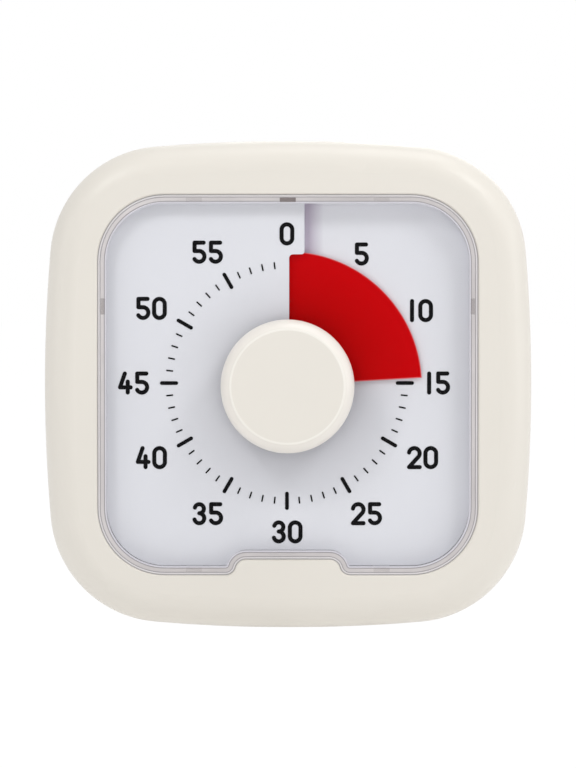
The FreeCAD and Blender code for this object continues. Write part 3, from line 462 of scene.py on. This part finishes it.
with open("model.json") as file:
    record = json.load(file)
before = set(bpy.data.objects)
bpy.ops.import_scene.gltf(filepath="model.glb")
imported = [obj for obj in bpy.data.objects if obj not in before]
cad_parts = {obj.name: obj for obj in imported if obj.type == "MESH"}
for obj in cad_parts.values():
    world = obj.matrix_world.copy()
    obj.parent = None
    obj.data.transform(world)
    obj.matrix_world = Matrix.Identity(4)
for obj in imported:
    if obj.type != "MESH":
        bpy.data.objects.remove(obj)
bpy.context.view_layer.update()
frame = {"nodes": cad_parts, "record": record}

# Finishes of the solids, by material slot
finishes = {
    "casing": moulded("casing_plastic", linear(231, 226, 217), 0.4, 1500.0, 0.00003, 0.012),
    "clear": cover_finish(linear(224, 223, 228)),
    "dial": dial_finish(linear(226, 227, 233)),
    "ink": printed_ink(),
    "red": leaf_film(),
    "knob": knob_finish(linear(233, 228, 219)),
    "inner_plastic": moulded("inner_plastic", linear(206, 204, 200), 0.55, 900.0, 0.00003, 0.04),
    "gear_plastic": moulded("gear_plastic", linear(226, 214, 176), 0.38, 2500.0, 0.00001, 0.04),
    "steel": turned_metal("plated_steel", (0.62, 0.62, 0.64)),
    "iron": turned_metal("core_iron", (0.25, 0.25, 0.27), 0.45),
    "copper": turned_metal("copper_wire", (0.72, 0.36, 0.2), 0.25, (60.0, 1.0, 1.0)),
    "board": board_lacquer(),
    "black": moulded("black_plastic", linear(38, 38, 40), 0.45, 2000.0, 0.00002, 0.1),
    "cell": battery_sleeve(),
    "brass": turned_metal("sounder_brass", (0.82, 0.64, 0.32), 0.3),
}
for part in frame["record"]["subparts"]:
    for slot in frame["nodes"][part["node"]].material_slots:
        slot.material = finishes[part["material_slot"]]

# Moulded rim of the clear cover, from the window's edge inwards, as thin bands: a grey band of painted
# shade over the gap at the window's edge, painted highlights on the beads, painted shade on the lines
# between the bands and at the foot by the dial, and the clear web. Columns: name, inset from and to,
# height, finish
rim_clear = clear_plastic("rim_plastic", 0.82, linear(222, 217, 217), 0.12)
# Bead bands carry painted highlights; line, gap and foot bands carry painted shade
rim_highlight = moulded("rim_bead_highlight", linear(228, 225, 226), 0.2, 800.0, 0.00001, 0.02)
rim_shade_line = moulded("rim_shade_line", linear(166, 161, 165), 0.5, 800.0, 0.00001, 0.05)
rim_gap_shade = moulded("rim_gap_shade", linear(180, 176, 177), 0.5, 800.0, 0.00001, 0.05)
rim_lip_highlight = moulded("rim_lip_highlight", linear(230, 229, 236), 0.2, 800.0, 0.00001, 0.02)
rim_foot_shade = moulded("rim_foot_shade", linear(206, 204, 212), 0.4, 800.0, 0.00001, 0.02)
bands = [
    ("cover_gap_shade", 0.08, 0.4, 0.04, rim_gap_shade),
    ("cover_outer_bead_highlight", 0.42, 0.96, 0.16, rim_highlight),
    ("cover_outer_shade_line", 0.98, 1.26, 0.04, rim_shade_line),
    ("cover_web", 1.28, 2.58, 0.06, rim_clear),
    ("cover_inner_shade_line", 2.6, 2.94, 0.04, rim_shade_line),
    ("cover_inner_bead_highlight", 2.96, 3.28, 0.14, rim_lip_highlight),
    ("cover_inner_foot_shade", 3.3, 3.64, 0.04, rim_foot_shade),
]
for name, near, far, height, tone in bands:
    slope = min(band_slope, (far - near) / 4)
    crest = band_base - height
    profile = [(near, band_base), (near + slope, crest), (far - slope, crest), (far, band_base)]
    window_band(name, profile, tone)

# Painted shade: darker translucent patches over the dial's lugs, where they show through the cover's rim
lug_shade_tone = clear_plastic("lug_shade_tone", 0.6, linear(150, 141, 140), 0.3)
lug_shade_dim = clear_plastic("lug_shade_dim", 0.16, linear(160, 152, 152), 0.3)
lug_shade_faint = clear_plastic("lug_shade_faint", 0.05, linear(150, 141, 140), 0.3)
lug_middle = window_width / 2 - lug_inset
marks = [("lug_mark_top", 0.0, middle_z + lug_middle, True, lug_shade_tone)]
for i, side in enumerate((-1, 1)):
    marks.append((f"lug_mark_top_{i}", side * lug_spread, middle_z + lug_middle, True, lug_shade_faint))
    marks.append((f"lug_mark_bottom_{i}", side * lug_spread, middle_z - lug_middle, True, lug_shade_faint))
    marks.append((f"lug_mark_side_{i}", side * lug_middle, middle_z + lug_side_height, False, lug_shade_dim))
for name, x, z, level, tone in marks:
    mark = bmesh.new()
    width, height = (lug_length, lug_width) if level else (lug_width, lug_length)
    block(mark, x, band_base - lug_lift, z, width, lug_patch, height, lug_patch_edge)
    patch = made(name, mark, tone)
    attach(patch, "housing")

centre = (0.0, 0.0, middle_z * MM)
pale_stage()
studio_world(0.43)
softbox("left_key", (-0.6, -0.8, 0.95), centre, 0.35, 2.7)
softbox("right_key", (0.75, -0.7, 1.0), centre, 0.4, 3.3)
softbox("top_softbox", (0.25, -0.05, 1.4), centre, 0.7, 4.2)
softbox("left_fill", (-1.3, -0.5, 0.3), centre, 0.8, 1.7)
softbox("right_fill", (1.3, -0.35, 0.35), centre, 0.8, 2.9)
softbox("low_fill", (0.0, -0.9, 0.08), centre, 0.5, 0.6)
softbox("rear_fill", (0.3, 1.2, 0.9), centre, 0.8, 3.0)

# Camera at the photograph's place, a little above and to the right of the spindle line
camera_distance = 1.5
camera_rise = math.radians(1.1)
camera_turn = math.radians(0.47)
frame_height = 768.0
pixels_per_metre = 2558.0
sensor_height = 24.0
camera_data = bpy.data.cameras.new("camera")
camera_data.sensor_fit = "VERTICAL"
camera_data.sensor_height = sensor_height
camera_data.lens = sensor_height * pixels_per_metre * camera_distance / frame_height
camera_data.clip_start = 0.05
camera_data.clip_end = 100.0
camera = bpy.data.objects.new("camera", camera_data)
bpy.context.scene.collection.objects.link(camera)
aim = Vector((0.0, 0.002, 0.0949))
level_share = math.cos(camera_rise)
offset = Vector((math.sin(camera_turn) * level_share, -math.cos(camera_turn) * level_share,
                 math.sin(camera_rise)))
camera.location = aim + offset * camera_distance
camera.rotation_euler = (-offset).to_track_quat("-Z", "Y").to_euler()
bpy.context.scene.camera = camera
bpy.context.scene.view_settings.view_transform = "Standard"
